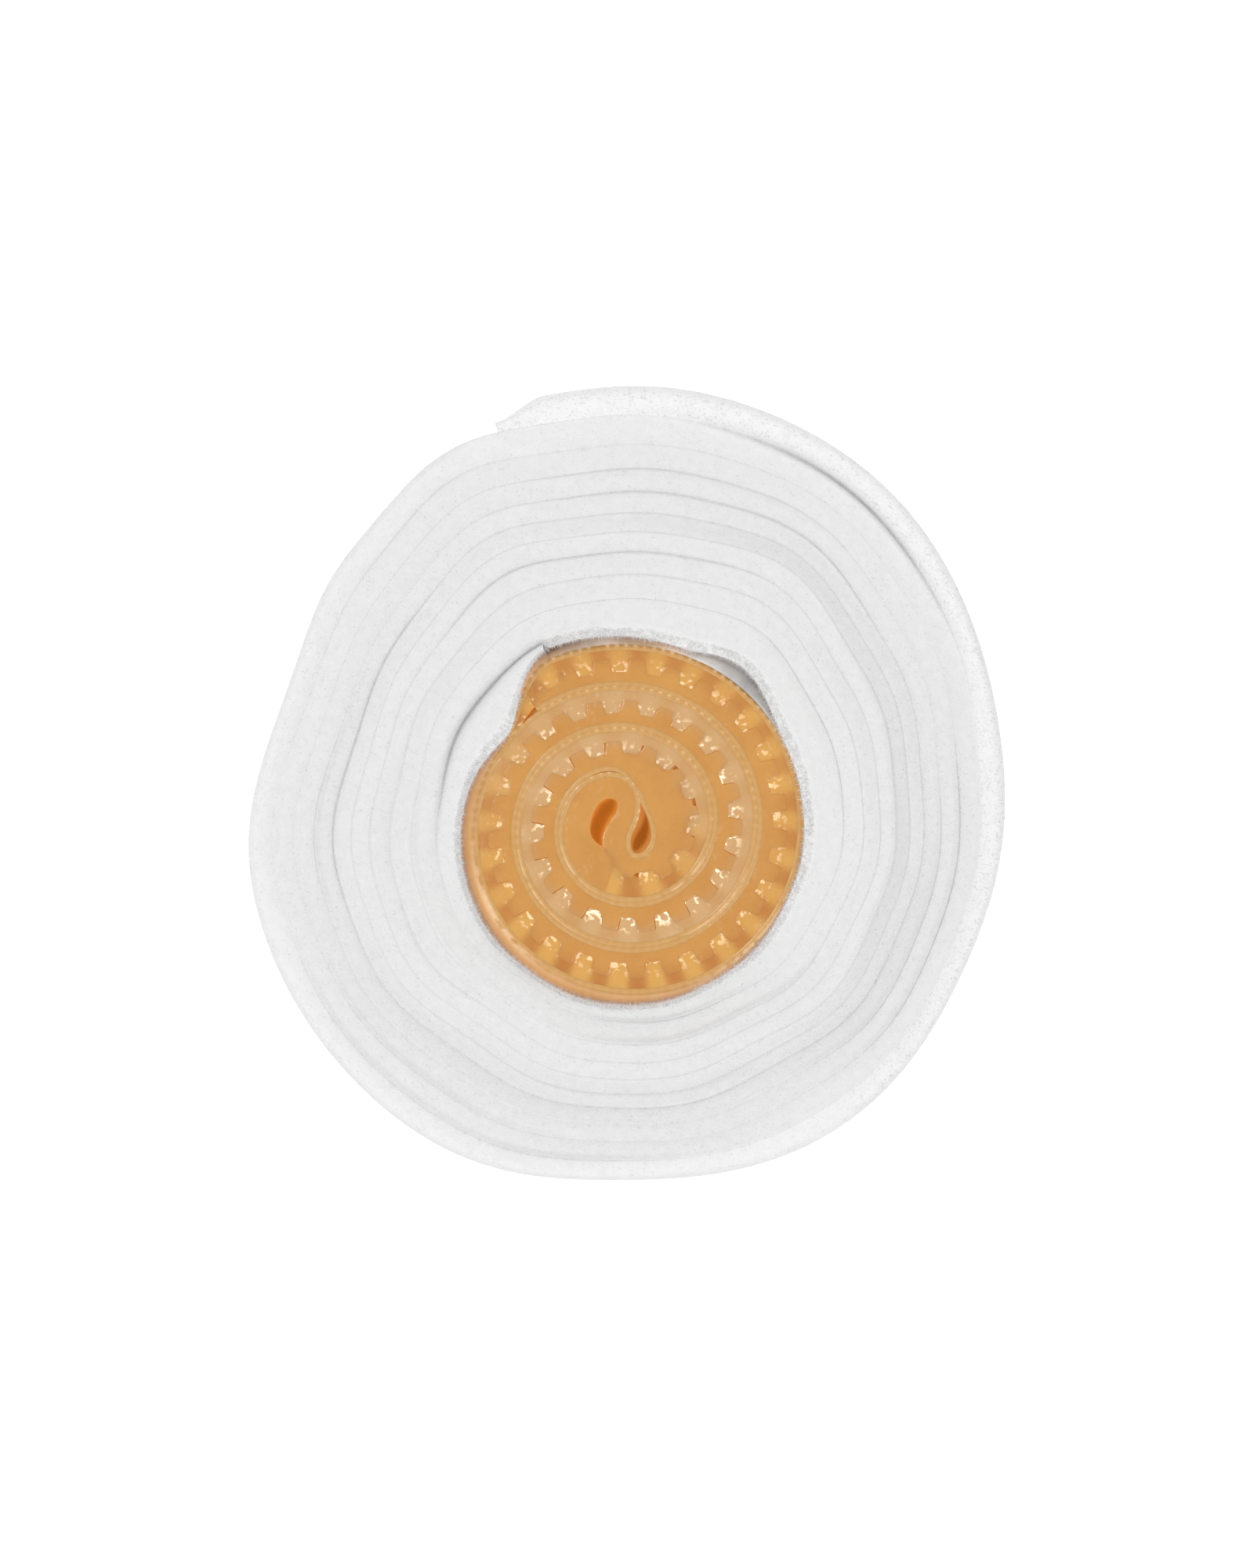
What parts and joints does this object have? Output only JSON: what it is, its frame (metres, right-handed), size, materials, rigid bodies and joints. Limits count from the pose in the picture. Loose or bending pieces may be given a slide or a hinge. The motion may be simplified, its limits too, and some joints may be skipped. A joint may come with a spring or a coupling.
{
  "type": "padding roll with ribbed gel strip",
  "caption": "Standing soft roll: white fleece padding wound round a lift-out coil of amber ribbed gel strip, with a loose outer end.",
  "frame": {"origin": "under the middle of the roll's box, on the surface that it stands on", "axes": "+Z along the winding axis, up; +X to the right and +Y to the back as seen from above, with the loose outer end towards +X+Y"},
  "size_m": [0.0872, 0.0914, 0.1],
  "materials": {
    "fleece": "soft, napped",
    "gel": "glossy, translucent",
    "backing": "glossy, fine woven",
    "film": "clear film"
  },
  "bodies": {
    "wrap": {"fleece_wrap": "fleece"},
    "coil": {"ribbed_strip": "gel", "scrim_backing": "backing", "clear_film": "film"},
    "tail": {"fleece_tail": "fleece"}
  },
  "joints": [
    {"name": "coil_lift", "type": "slide", "parent": "wrap", "child": "coil", "axis": [0, 0, 1], "range_m": [0, 0.11]},
    {"name": "tail_peel", "type": "hinge", "parent": "wrap", "child": "tail", "pos_m": [0.04196, 0.0109, 0.05], "axis": [0, 0, -1], "range_deg": [0, 75]}
  ]
}
